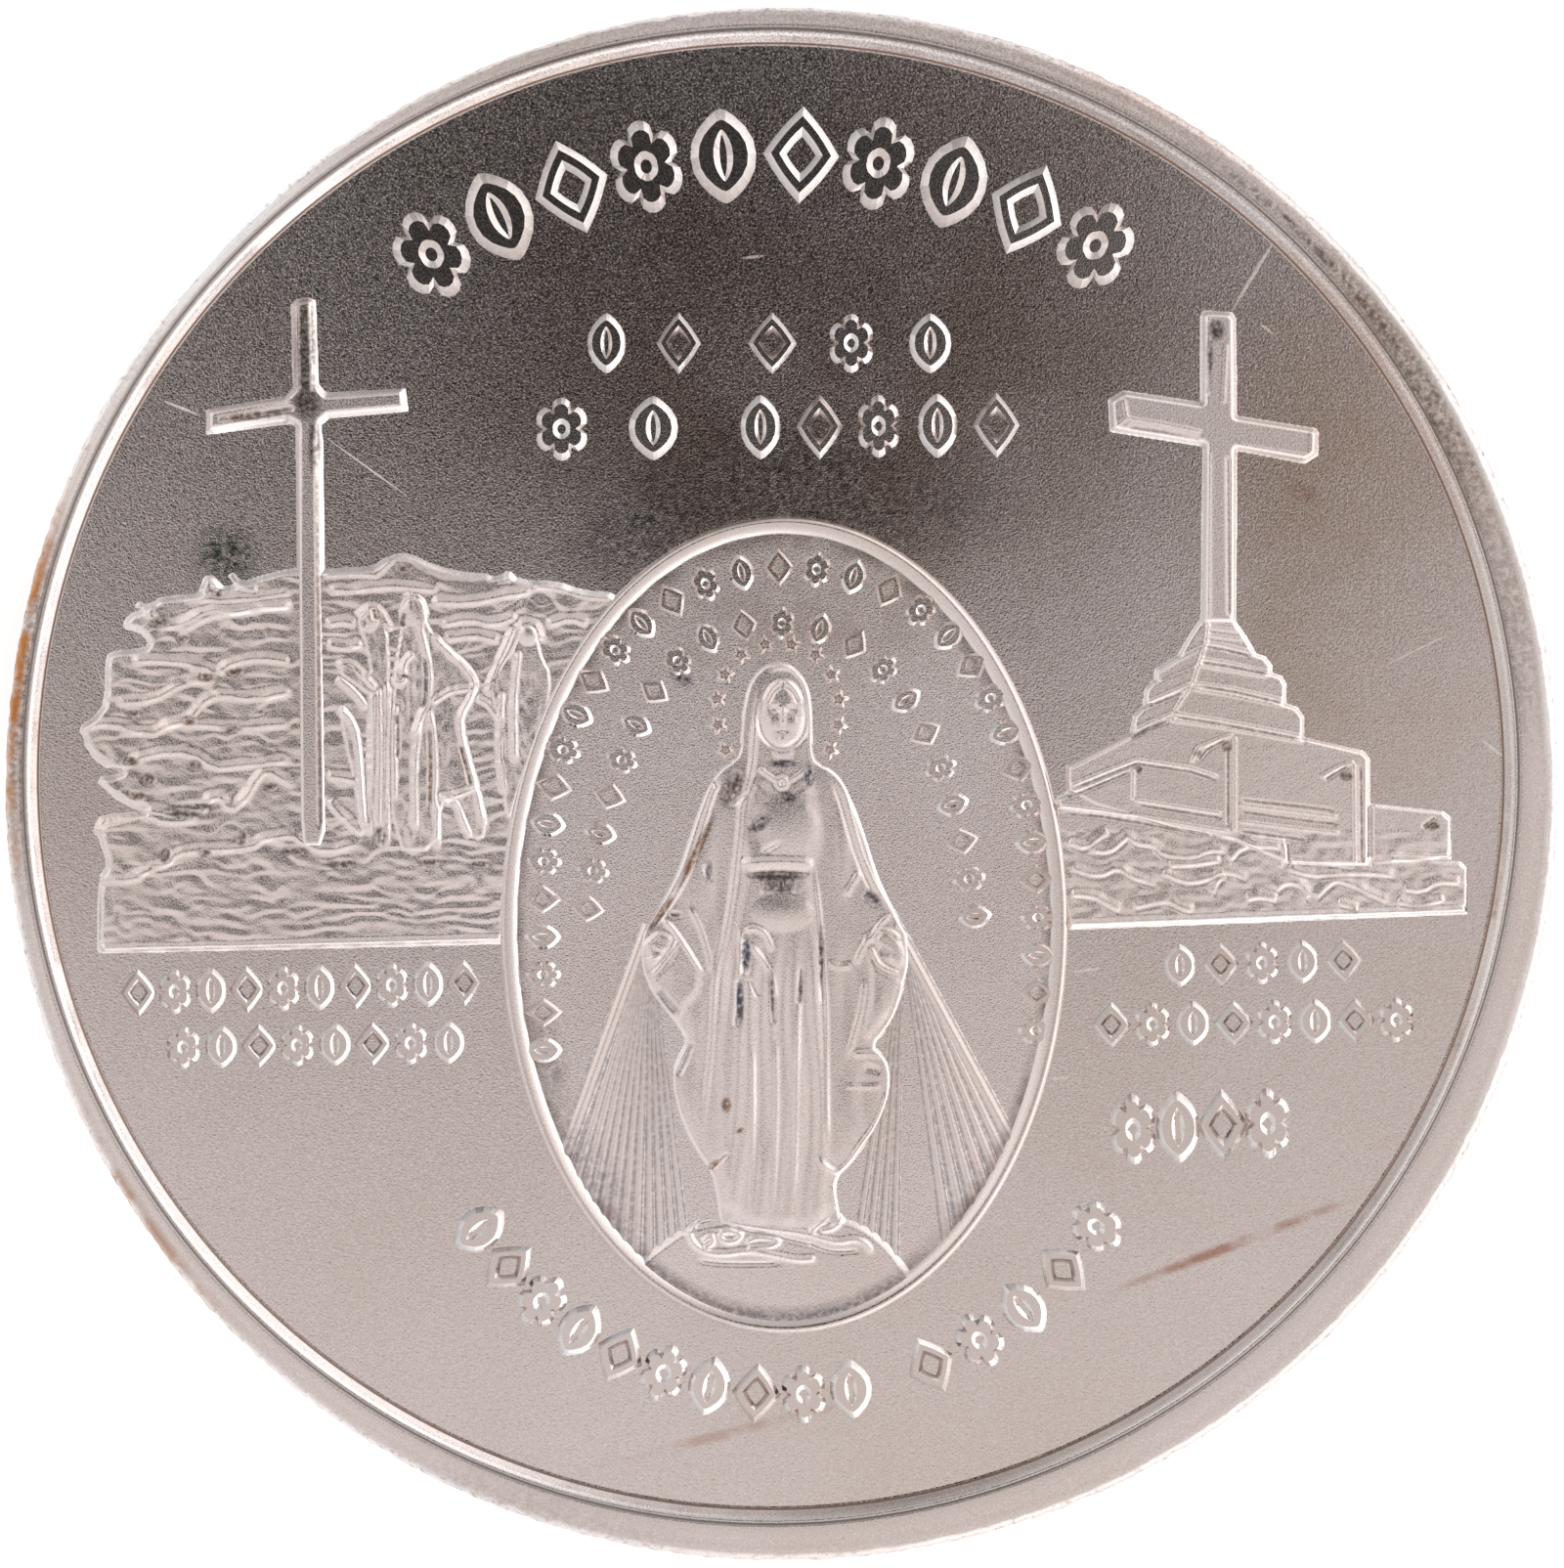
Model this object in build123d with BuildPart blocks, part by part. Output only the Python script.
"""A struck silver devotional medal: one round disc with raised rims.

The obverse carries an oval medallion with a robed Lady among stars and rays, a rocky hillside
with a tall cross and three robed figures, a cross on a stepped plinth, and bands of plain
ornament. The medal lies on its reverse: +Z is out of the obverse and +Y is up in the design.
"""
from build123d import *
from math import copysign, cos, degrees, hypot, pi, radians, sin, sqrt
import os

# Disc
disc_diameter = 39.0
disc_thickness = 3.00
rim_width = 1.10
field_depth = 0.30

# Rim section, as shares of the rim width
edge_round = 0.27 * rim_width
bead_width = 0.26 * rim_width

# The dies struck a little off centre, as shares of the rim width
strike_shift_x = -0.26 * rim_width
strike_shift_y = 0.18 * rim_width

# Oval medallion
oval_half_width = 7.10
oval_half_height = 10.20
oval_border_width = 0.34
oval_border_height = 0.18

# Hillside and the leaning cross before it
hill_width = 13.80
hill_height = 10.00
hill_height_above_field = 0.09
ledge_height = 0.13
lean_cross_height = 13.60
lean_cross_span = 5.10
lean_cross_bar = 0.66

# Plinth and the upright cross on it
plinth_width = 10.35
plinth_height = 7.65
tall_cross_height = 7.85
tall_cross_span = 5.20
tall_cross_bar = 0.88

# Arms of the two crosses: height of the arms as a share of the cross, their slope, and their thickness share
lean_cross_arms = (0.795, 0.11)
tall_cross_arms = (0.615, -0.15)
arm_thickness_share = 0.90
lean_cross_foot = (0.430, 0.290)
lean_cross_lean = 0.016
tall_cross_foot = (0.396, 0.970)

# Heights of the relief above the field
lean_cross_level = 0.25
tall_cross_level = 0.26
robe_level = 0.17
robe_head_level = 0.20
mantle_level = 0.14
gown_level = 0.17
fold_level = 0.20
sleeve_level = 0.21
hand_level = 0.22
hood_level = 0.23
head_level = 0.25
ray_level = 0.07
ring_ornament_level = 0.08
star_level = 0.09
ornament_level = 0.12

# Depth by which every raised form is rooted below the field
root = 0.10

field_radius = disc_diameter / 2 - rim_width
field_level = disc_thickness - field_depth
relief_plane = Plane.XY.offset(field_level - root)

# Centres in the design, as shares of the field radius: along, up
oval_place = (0.019, -0.203)
hill_corner = (-0.9455, -0.2447)
plinth_corner = (0.388, -0.201)


def on_field(along, up):
    """A place on the obverse from its shares of the field radius."""
    return (strike_shift_x + along * field_radius, strike_shift_y + up * field_radius)


def in_box(corner, width, height, along, up):
    """A place in a scene from its shares of the scene's width and height."""
    corner_x, corner_y = on_field(*corner)
    return (corner_x + along * width, corner_y + up * height)


def in_oval(along, up):
    """A place in the medallion from its shares of the oval's half width and half height."""
    centre_x, centre_y = on_field(*oval_place)
    return (centre_x + along * oval_half_width, centre_y + up * oval_half_height)


def on_hill(along, up):
    """A place on the hillside."""
    return in_box(hill_corner, hill_width, hill_height, along, up)


def on_plinth(along, up):
    """A place on the plinth's scene."""
    return in_box(plinth_corner, plinth_width, plinth_height, along, up)


def closed_shape(points):
    """A straight-sided face through the points."""
    Polygon(*points, align=None)


def bar_shape(start, end, start_width, end_width):
    """A straight bar between two places, with its width at each end."""
    run_x = end[0] - start[0]
    run_y = end[1] - start[1]
    length = sqrt(run_x**2 + run_y**2)
    side_x = -run_y / length / 2
    side_y = run_x / length / 2
    closed_shape([
        (start[0] + side_x * start_width, start[1] + side_y * start_width),
        (start[0] - side_x * start_width, start[1] - side_y * start_width),
        (end[0] - side_x * end_width, end[1] - side_y * end_width),
        (end[0] + side_x * end_width, end[1] + side_y * end_width),
    ])


def clear_oval():
    """Takes the inside of the medallion out of a scene that runs behind it."""
    with Locations(on_field(*oval_place)):
        Ellipse(
            oval_half_width - oval_border_width / 2,
            oval_half_height - oval_border_width / 2,
            mode=Mode.SUBTRACT,
        )


def raise_shapes(height):
    """Raises the shapes just drawn on the relief plane above the field."""
    extrude(amount=root + height)


# Outline of the hillside from its lower left corner: along, up
hill_outline = [
    (0.041, 0.000), (0.037, 0.196), (0.059, 0.237), (0.041, 0.330), (0.140, 0.362),
    (0.071, 0.391), (0.028, 0.450), (0.085, 0.457), (0.009, 0.526), (0.000, 0.570),
    (0.050, 0.638), (0.055, 0.748), (0.123, 0.773), (0.080, 0.819), (0.123, 0.870),
    (0.215, 0.900), (0.240, 0.954), (0.270, 0.922), (0.398, 0.976), (0.536, 0.976),
    (0.597, 1.000), (0.670, 0.963), (0.774, 0.951), (0.789, 0.968), (0.805, 0.941),
    (0.877, 0.939), (1.000, 0.895), (0.940, 0.533), (0.830, 0.029),
]

# Rock ledges across the hillside: start along, end along, start up, middle up, end up, thickness
ledges = [
    (0.13, 0.40, 0.832, 0.868, 0.895, 0.022),
    (0.47, 0.92, 0.915, 0.905, 0.880, 0.014),
    (0.10, 0.38, 0.735, 0.752, 0.722, 0.020),
    (0.47, 0.66, 0.835, 0.842, 0.822, 0.014),
    (0.07, 0.41, 0.655, 0.640, 0.690, 0.020),
    (0.02, 0.40, 0.572, 0.590, 0.612, 0.024),
    (0.05, 0.41, 0.512, 0.535, 0.520, 0.016),
    (0.05, 0.33, 0.440, 0.395, 0.468, 0.026),
    (0.05, 0.28, 0.325, 0.338, 0.300, 0.018),
    (0.06, 0.40, 0.235, 0.275, 0.290, 0.022),
    (0.44, 0.80, 0.262, 0.282, 0.268, 0.020),
    (0.08, 0.55, 0.180, 0.172, 0.200, 0.016),
    (0.50, 0.82, 0.190, 0.165, 0.178, 0.016),
    (0.06, 0.45, 0.108, 0.118, 0.102, 0.014),
    (0.42, 0.82, 0.110, 0.092, 0.108, 0.014),
]

# Robed figures on the hillside: foot along, foot up, head up, robe width, lean along, head size
robed_figures = [
    (0.655, 0.272, 0.868, 0.150, -0.035, 0.036),
    (0.555, 0.272, 0.850, 0.085, -0.025, 0.034),
    (0.800, 0.285, 0.790, 0.105, 0.020, 0.036),
]

# Half outline of a robe seen from the front, up from the hem: half width, height, as shares
robe_sections = [
    (0.40, 0.00), (0.44, 0.25), (0.50, 0.55), (0.44, 0.74), (0.32, 0.87), (0.12, 0.93), (0.11, 1.00),
]
neck_gap = 0.03

# Stepped plinth from the top down: left, left top, ridge, ridge top, right, right top, right spread, fall
plinth_steps = [
    (0.291, 0.875, 0.365, 1.000, 0.441, 0.990, 0.049, 0.112),
    (0.246, 0.842, 0.350, 0.905, 0.528, 0.862, 0.004, 0.085),
    (0.215, 0.765, 0.335, 0.825, 0.562, 0.808, 0.000, 0.085),
    (0.185, 0.684, 0.300, 0.745, 0.607, 0.705, 0.000, 0.095),
]
step_height_above_field = 0.14
step_rise = 0.012

# Platform, side box and stony ground under the steps: along, up
platform_outline = [
    (-0.010, 0.415), (0.026, 0.441), (0.026, 0.512), (0.267, 0.677), (0.748, 0.572), (0.760, 0.560),
    (0.760, 0.188), (0.430, 0.290), (0.026, 0.380),
]
side_box_outline = [(0.750, 0.396), (0.948, 0.372), (0.960, 0.362), (0.960, 0.220), (0.750, 0.190)]
ground_outline = [
    (0.000, 0.420), (0.763, 0.200), (0.815, 0.220), (0.993, 0.200), (0.998, 0.030), (0.000, 0.000),
]
side_box_height = 0.12
ground_height = 0.08

# Pillars of the two doorways: pillar along, foot up, top up, lintel end along, lintel end up
doorways = [
    (0.434, 0.290, 0.620, 0.325, 0.548),
    (0.722, 0.190, 0.527, 0.635, 0.485),
]
doorway_bar = 0.26
doorway_height = 0.22
lintel_drop = 0.015
lintel_end_share = 0.50

# Stones of the ground: along, up, length, as shares of the plinth's scene
ground_stones = [
    (0.09, 0.20, 0.10), (0.22, 0.26, 0.14), (0.40, 0.17, 0.12), (0.55, 0.20, 0.10),
    (0.63, 0.12, 0.12), (0.78, 0.13, 0.10), (0.90, 0.12, 0.11), (0.30, 0.09, 0.13),
    (0.12, 0.09, 0.12), (0.48, 0.07, 0.09),
]

# Corners of a stone about its middle: along as a share of its length, up as a share of the scene
stone_corners = [(-0.50, -0.020), (0.50, -0.030), (0.33, 0.025), (-0.20, 0.030)]

# Mantle of the Lady, from the hood down the left side and up the right: along, up
mantle_outline = [
    (-0.010, 0.648), (-0.105, 0.600), (-0.140, 0.500), (-0.155, 0.410), (-0.224, 0.375),
    (-0.280, 0.250), (-0.310, 0.160), (-0.448, 0.040), (-0.507, -0.062), (-0.470, -0.130),
    (-0.350, -0.265), (-0.389, -0.368), (-0.365, -0.500), (-0.255, -0.605), (-0.225, -0.720),
    (0.215, -0.720), (0.235, -0.600), (0.290, -0.530), (0.380, -0.390), (0.350, -0.320),
    (0.310, -0.270), (0.440, -0.125), (0.450, -0.020), (0.383, 0.035), (0.290, 0.160),
    (0.225, 0.290), (0.176, 0.375), (0.105, 0.395), (0.110, 0.500), (0.085, 0.600),
]

# Gown between the sides of the mantle: along, up
gown_outline = [
    (-0.110, 0.340), (-0.155, 0.150), (-0.215, -0.200), (-0.200, -0.715),
    (0.195, -0.715), (0.190, -0.200), (0.125, 0.150), (0.090, 0.340),
]

# Long folds of the gown and the mantle: top along, top up, foot along, foot up
folds = [
    (-0.150, 0.140, -0.235, -0.690),
    (-0.080, 0.130, -0.120, -0.700),
    (-0.020, 0.020, -0.040, -0.700),
    (0.050, 0.010, 0.045, -0.700),
    (0.110, 0.130, 0.140, -0.690),
    (-0.430, 0.010, -0.350, -0.250),
    (0.400, 0.000, 0.300, -0.260),
    (-0.370, -0.060, -0.270, -0.520),
    (0.330, -0.080, 0.270, -0.500),
]
fold_width = 0.22
fold_top_share = 0.50

# Arms from the shoulders to the open hands: start along, start up, end along, end up
arms = [
    (-0.230, 0.300, -0.440, -0.010),
    (0.190, 0.300, 0.390, -0.010),
]
sleeve_width = 0.80
cuff_share = 0.70
hands = [(-0.460, -0.060), (0.425, -0.060)]
hand_length = 0.90
hand_width = 0.50

head_place = (-0.007, 0.530)
head_half_width = 0.64
head_half_height = 0.92
hood_width = 0.27
belt_up = 0.155
belt_half_length = 0.130
brooch_place = (-0.003, 0.354)
brooch_radius = 0.17

# Light rays fanning from the hands to the border
ray_count = 8
ray_width = 0.12
ray_root_share = 0.33
left_ray_angles = (243.0, 278.0)
right_ray_angles = (262.0, 297.0)
ray_start = 0.80
ray_reach = 0.93

# Globe under the gown and the band that winds over it
globe_half_width = 3.30
globe_rise = 1.42
globe_up = -0.835
globe_height = 0.10
band_width = 0.24
band_waves = [(-0.34, -0.79), (-0.25, -0.735), (-0.14, -0.80), (-0.02, -0.745), (0.10, -0.80), (0.23, -0.74)]

# Twelve stars in an arch round the head
star_count = 12
star_radius = 0.27
star_arch_half_width = 1.54
star_arch_rise = 1.42
star_arch_place = (-0.020, 0.555)
star_first_angle = -58.0
star_arch_squareness = 0.40

# Ornament shapes, as shares of half their height
lozenge_reach = 0.72
lozenge_opening = 0.52
leaf_half_outline = [(0.00, 1.00), (0.25, 0.62), (0.38, 0.22), (0.38, -0.22), (0.25, -0.62), (0.00, -1.00)]
rosette_reach = 0.80
rosette_hollow = 0.50
star_hollow = 0.42

# Small ornaments in two rings inside the border: count, gap to the border, first and last angle, size
oval_rings = [
    (33, 1.27, 200.0, -17.0, 0.92),
    (21, 2.37, 178.0, 2.0, 0.84),
]
lower_row_count = 4
lower_row_up = -0.895
lower_row_pitch = 0.125
lower_row_size = 0.95

# Straight bands of ornament: first along, last along, up, count, height, as shares of the field
ornament_rows = [
    (-0.220, -0.120, 0.590, 2, 0.083),
    (-0.005, 0.230, 0.590, 3, 0.083),
    (-0.300, -0.150, 0.476, 2, 0.086),
    (-0.010, 0.310, 0.476, 5, 0.086),
    (-0.860, -0.424, -0.287, 10, 0.054),
    (-0.800, -0.444, -0.364, 8, 0.054),
    (0.565, 0.775, -0.254, 5, 0.054),
    (0.465, 0.845, -0.335, 8, 0.054),
    (0.500, 0.672, -0.477, 4, 0.082),
]

# Curved bands of ornament: centre up, radius, first angle, last angle, count, height
ornament_arcs = [
    (0.000, 0.851, 124.0, 57.5, 10, 0.118),
    (-0.340, 0.505, 213.0, 281.0, 10, 0.072),
    (-0.340, 0.505, 294.0, 327.0, 5, 0.072),
]


def pointed_ring(points, outer, inner):
    """Corners of a star with so many points, the first one upright."""
    corners = []
    for corner in range(2 * points):
        reach = outer if corner % 2 == 0 else inner
        turn = pi / 2 + corner * pi / points
        corners.append((reach * cos(turn), reach * sin(turn)))
    return corners


def ornament(index, height):
    """One ornament of a band at the current place: an open lozenge, a leaf or a rosette in turn."""
    half = height / 2
    kind = index % 3
    with BuildSketch(mode=Mode.PRIVATE) as motif:
        if kind == 0:
            reach = lozenge_reach * half
            outer = [(0, half), (-reach, 0), (0, -half), (reach, 0)]
            inner = [(lozenge_opening * x, lozenge_opening * y) for x, y in outer]
            closed_shape(outer)
            Polygon(*inner, align=None, mode=Mode.SUBTRACT)
        elif kind == 1:
            right = [(x * half, y * half) for x, y in leaf_half_outline]
            left = [(-x, y) for x, y in right[-2:0:-1]]
            closed_shape(right + left)
        else:
            closed_shape(pointed_ring(6, rosette_reach * half, rosette_hollow * half))
    add(motif.sketch)


def star_shape(radius):
    """A five-pointed star at the current place."""
    with BuildSketch(mode=Mode.PRIVATE) as star:
        closed_shape(pointed_ring(5, radius, star_hollow * radius))
    add(star.sketch)


def ring_places(half_width, half_height, first, last, count):
    """Evenly spaced places and outward angles along an oval between two angles."""
    fine = 400
    track = []
    run = 0.0
    for step in range(fine + 1):
        angle = radians(first + (last - first) * step / fine)
        place = (half_width * cos(angle), half_height * sin(angle))
        if track:
            run += hypot(place[0] - track[-1][1][0], place[1] - track[-1][1][1])
        track.append((run, place, degrees(angle)))
    places = []
    for index in range(count):
        wanted = run * index / (count - 1)
        places.append(next(item[1:] for item in track if item[0] >= wanted - run / fine / 2))
    return places


def cross_shapes(foot, top, bar, span, arms):
    """A Latin cross from its foot to its top, with arms at a share of its height and at a slope."""
    arm_share, arm_slope = arms
    bar_shape(foot, top, bar, bar)
    arm_x = foot[0] + (top[0] - foot[0]) * arm_share
    arm_y = foot[1] + (top[1] - foot[1]) * arm_share
    rise = span / 2 * arm_slope
    thickness = bar * arm_thickness_share
    bar_shape((arm_x - span / 2, arm_y - rise), (arm_x + span / 2, arm_y + rise), thickness, thickness)


def robe_points(foot_along, foot_up, head_up, width, lean):
    """The outline of a robed figure on the hillside."""
    tall = head_up - foot_up
    left = []
    right = []
    for half_width, share in robe_sections:
        middle = foot_along + lean * share
        left.append(on_hill(middle - half_width * width, foot_up + share * tall))
        right.append(on_hill(middle + half_width * width, foot_up + share * tall))
    return left + right[::-1]


with BuildPart() as medal:
    with BuildSketch(Plane.XY):
        Circle(disc_diameter / 2)
    extrude(amount=disc_thickness)
    fillet(medal.edges().filter_by(GeomType.CIRCLE), radius=edge_round)

    # Recessed fields of both faces, with the sloping bead that leads up to each rim
    for face_level, direction in ((disc_thickness, -1), (0, 1)):
        rim_plane = Plane.XY.offset(face_level)
        floor_plane = Plane.XY.offset(face_level + direction * field_depth)
        with BuildSketch(rim_plane):
            with Locations((strike_shift_x, strike_shift_y)):
                Circle(field_radius + bead_width)
        with BuildSketch(floor_plane):
            with Locations((strike_shift_x, strike_shift_y)):
                Circle(field_radius)
        loft(mode=Mode.SUBTRACT)

    # Hillside and the stony ground of the plinth
    with BuildSketch(relief_plane):
        closed_shape([on_hill(*place) for place in hill_outline])
        clear_oval()
    raise_shapes(hill_height_above_field)
    with BuildSketch(relief_plane):
        closed_shape([on_plinth(*place) for place in ground_outline])
        clear_oval()
    raise_shapes(ground_height)

    # Ledges of rock
    with BuildSketch(relief_plane):
        for start, end, start_up, middle_up, end_up, thickness in ledges:
            middle = (start + end) / 2
            closed_shape([
                on_hill(start, start_up),
                on_hill(middle, middle_up - thickness),
                on_hill(end, end_up - thickness),
                on_hill(end, end_up),
                on_hill(middle, middle_up + thickness / 2),
            ])
        for along, up, length in ground_stones:
            closed_shape([on_plinth(along + share * length, up + rise) for share, rise in stone_corners])
        clear_oval()
    raise_shapes(ledge_height)

    # Steps of the plinth, each a little prouder than the one above it, down to the platform
    for order, step in enumerate(plinth_steps):
        left, left_top, ridge, ridge_top, right, right_top, spread, fall = step
        with BuildSketch(relief_plane):
            closed_shape([
                on_plinth(left, left_top - fall),
                on_plinth(left, left_top),
                on_plinth(ridge, ridge_top),
                on_plinth(right, right_top),
                on_plinth(right + spread, right_top - fall),
            ])
        raise_shapes(step_height_above_field + order * step_rise)
    with BuildSketch(relief_plane):
        closed_shape([on_plinth(*place) for place in side_box_outline])
    raise_shapes(side_box_height)
    with BuildSketch(relief_plane):
        closed_shape([on_plinth(*place) for place in platform_outline])
        clear_oval()
    raise_shapes(step_height_above_field + len(plinth_steps) * step_rise)

    # Doorways of the platform
    with BuildSketch(relief_plane):
        for pillar, foot_up, top_up, lintel_end, lintel_up in doorways:
            bar_shape(on_plinth(pillar, foot_up), on_plinth(pillar, top_up), doorway_bar, doorway_bar)
            bar_shape(
                on_plinth(pillar, top_up - lintel_drop),
                on_plinth(lintel_end, lintel_up),
                doorway_bar,
                doorway_bar * lintel_end_share,
            )
    raise_shapes(doorway_height)

    # Robed figures with their heads
    with BuildSketch(relief_plane):
        for foot_along, foot_up, head_up, width, lean, head in robed_figures:
            closed_shape(robe_points(foot_along, foot_up, head_up - neck_gap, width, lean))
        clear_oval()
    raise_shapes(robe_level)
    with BuildSketch(relief_plane):
        for foot_along, foot_up, head_up, width, lean, head in robed_figures:
            with Locations(on_hill(foot_along + lean, head_up)):
                RegularPolygon(head / 2 * hill_width, side_count=12)
    raise_shapes(robe_head_level)

    # The two crosses
    foot_x, foot_y = on_hill(*lean_cross_foot)
    top = (foot_x - lean_cross_lean * lean_cross_height, foot_y + lean_cross_height)
    with BuildSketch(relief_plane):
        cross_shapes((foot_x, foot_y), top, lean_cross_bar, lean_cross_span, lean_cross_arms)
    raise_shapes(lean_cross_level)
    foot_x, foot_y = on_plinth(*tall_cross_foot)
    top = (foot_x, foot_y + tall_cross_height)
    with BuildSketch(relief_plane):
        cross_shapes((foot_x, foot_y), top, tall_cross_bar, tall_cross_span, tall_cross_arms)
    raise_shapes(tall_cross_level)

    # Raised border of the medallion
    with BuildSketch(relief_plane):
        with Locations(on_field(*oval_place)):
            Ellipse(oval_half_width, oval_half_height)
            Ellipse(
                oval_half_width - oval_border_width,
                oval_half_height - oval_border_width,
                mode=Mode.SUBTRACT,
            )
    raise_shapes(oval_border_height)

    # Rays of light, which end short of the border
    with BuildSketch(relief_plane):
        for hand, (first, last) in zip(hands, (left_ray_angles, right_ray_angles)):
            hand_x, hand_y = in_oval(*hand)
            centre_x, centre_y = on_field(*oval_place)
            for ray in range(ray_count):
                angle = radians(first + (last - first) * ray / (ray_count - 1))
                step_x = cos(angle) / oval_half_width
                step_y = sin(angle) / oval_half_height
                start_x = (hand_x - centre_x) / oval_half_width
                start_y = (hand_y - centre_y) / oval_half_height
                square = step_x**2 + step_y**2
                cross_term = start_x * step_x + start_y * step_y
                rest = start_x**2 + start_y**2 - ray_reach**2
                reach = (-cross_term + sqrt(cross_term**2 - square * rest)) / square
                bar_shape(
                    (hand_x + ray_start * cos(angle), hand_y + ray_start * sin(angle)),
                    (hand_x + reach * cos(angle), hand_y + reach * sin(angle)),
                    ray_width * ray_root_share,
                    ray_width,
                )
    raise_shapes(ray_level)

    # Globe and the band that winds over it
    with BuildSketch(relief_plane):
        globe_x, globe_y = in_oval(0.0, globe_up)
        with BuildLine():
            ThreePointArc(
                (globe_x - globe_half_width, globe_y),
                (globe_x, globe_y + globe_rise),
                (globe_x + globe_half_width, globe_y),
            )
            Line((globe_x + globe_half_width, globe_y), (globe_x - globe_half_width, globe_y))
        make_face()
    raise_shapes(globe_height)

    # Mantle, gown, sleeves and folds of the Lady
    with BuildSketch(relief_plane):
        closed_shape([in_oval(*place) for place in mantle_outline])
    raise_shapes(mantle_level)
    with BuildSketch(relief_plane):
        closed_shape([in_oval(*place) for place in gown_outline])
    raise_shapes(gown_level)
    with BuildSketch(relief_plane):
        for top_along, top_up, foot_along, foot_up in folds:
            fold_top = in_oval(top_along, top_up)
            bar_shape(fold_top, in_oval(foot_along, foot_up), fold_width * fold_top_share, fold_width)
        bar_shape(
            in_oval(-belt_half_length, belt_up), in_oval(belt_half_length, belt_up), fold_width, fold_width
        )
    raise_shapes(fold_level)
    with BuildSketch(relief_plane):
        for start_along, start_up, end_along, end_up in arms:
            shoulder = in_oval(start_along, start_up)
            bar_shape(shoulder, in_oval(end_along, end_up), sleeve_width, sleeve_width * cuff_share)
    raise_shapes(sleeve_level)
    with BuildSketch(relief_plane):
        for hand_along, hand_up in hands:
            with Locations(in_oval(hand_along, hand_up)):
                Rectangle(hand_width, hand_length)
        for first_wave, next_wave in zip(band_waves, band_waves[1:]):
            bar_shape(in_oval(*first_wave), in_oval(*next_wave), band_width, band_width)
    raise_shapes(hand_level)

    # Hood round the head, the head and the brooch
    with BuildSketch(relief_plane):
        with Locations(in_oval(*head_place)):
            Ellipse(head_half_width + hood_width, head_half_height + hood_width)
    raise_shapes(hood_level)
    with BuildSketch(relief_plane):
        with Locations(in_oval(*head_place)):
            Ellipse(head_half_width, head_half_height)
        with Locations(in_oval(*brooch_place)):
            RegularPolygon(brooch_radius, side_count=8)
    raise_shapes(head_level)

    # Twelve stars
    with BuildSketch(relief_plane):
        arch_x, arch_y = in_oval(*star_arch_place)
        for star in range(star_count):
            sweep = 180.0 - 2 * star_first_angle
            angle = radians(star_first_angle + sweep * star / (star_count - 1))
            squareness = 1.0 if sin(angle) > 0 else star_arch_squareness
            across = star_arch_half_width * copysign(abs(cos(angle)) ** squareness, cos(angle))
            with Locations((arch_x + across, arch_y + star_arch_rise * sin(angle))):
                star_shape(star_radius)
    raise_shapes(star_level)

    # Rings of small ornament inside the border, and the short row at its foot
    with BuildSketch(relief_plane):
        oval_x, oval_y = on_field(*oval_place)
        for count, gap, first, last, size in oval_rings:
            ring = ring_places(oval_half_width - gap, oval_half_height - gap, first, last, count)
            for index, ((place_x, place_y), angle) in enumerate(ring):
                with Locations(Location((oval_x + place_x, oval_y + place_y, 0), (0, 0, angle - 90))):
                    ornament(index, size)
        for index in range(lower_row_count):
            offset = index - (lower_row_count - 1) / 2
            with Locations(in_oval(offset * lower_row_pitch, lower_row_up)):
                ornament(index, lower_row_size)
    raise_shapes(ring_ornament_level)

    # Straight and curved bands of ornament on the field
    with BuildSketch(relief_plane):
        for first, last, up, count, height in ornament_rows:
            for index in range(count):
                along = first + (last - first) * index / (count - 1)
                with Locations(on_field(along, up)):
                    ornament(index, height * field_radius)
        for centre_up, radius, first, last, count, height in ornament_arcs:
            for index in range(count):
                angle = first + (last - first) * index / (count - 1)
                place = on_field(radius * cos(radians(angle)), centre_up + radius * sin(radians(angle)))
                with Locations(Location((place[0], place[1], 0), (0, 0, angle - 90))):
                    ornament(index, height * field_radius)
    raise_shapes(ornament_level)

medal.part.label = "medal"
os.makedirs("parts", exist_ok=True)
export_step(medal.part, "parts/medal.step")
print("volume", round(medal.part.volume, 1), "solids", len(medal.part.solids()))
